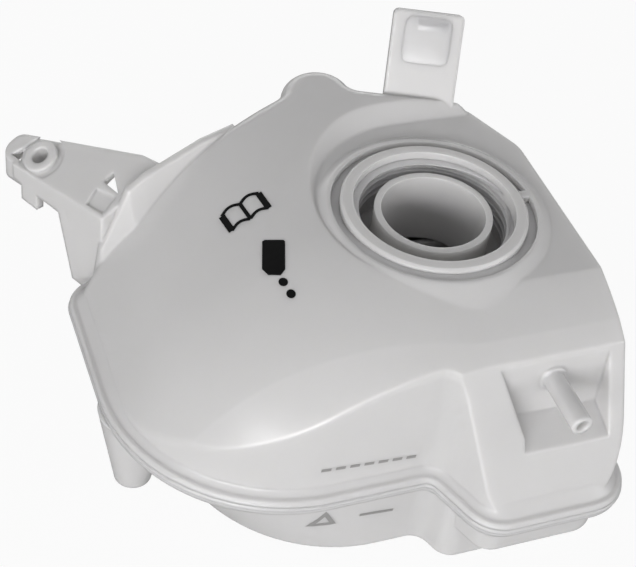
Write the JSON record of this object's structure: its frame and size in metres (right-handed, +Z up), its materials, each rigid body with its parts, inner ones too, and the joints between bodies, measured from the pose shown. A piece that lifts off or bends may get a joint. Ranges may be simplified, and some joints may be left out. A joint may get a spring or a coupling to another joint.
{
  "type": "coolant expansion tank",
  "caption": "Milky moulded coolant expansion tank: domed upper half welded to a bowl at a flange, with a wide filler neck, vent spigot in a pocket, bracket arm and mounting tongue.",
  "frame": {"origin": "on the bowl's flat underside, straight below the centre of the filler neck", "axes": "+Z up along the filler neck, -Y towards the box front with the vent spigot, +X towards the flat side wall by the neck"},
  "size_m": [0.1694, 0.1856, 0.1266],
  "materials": {
    "natural_polypropylene": "natural, milky white, satin moulded surface"
  },
  "bodies": {
    "root": {"upper_shell": "natural_polypropylene", "lower_shell": "natural_polypropylene"}
  },
  "joints": []
}
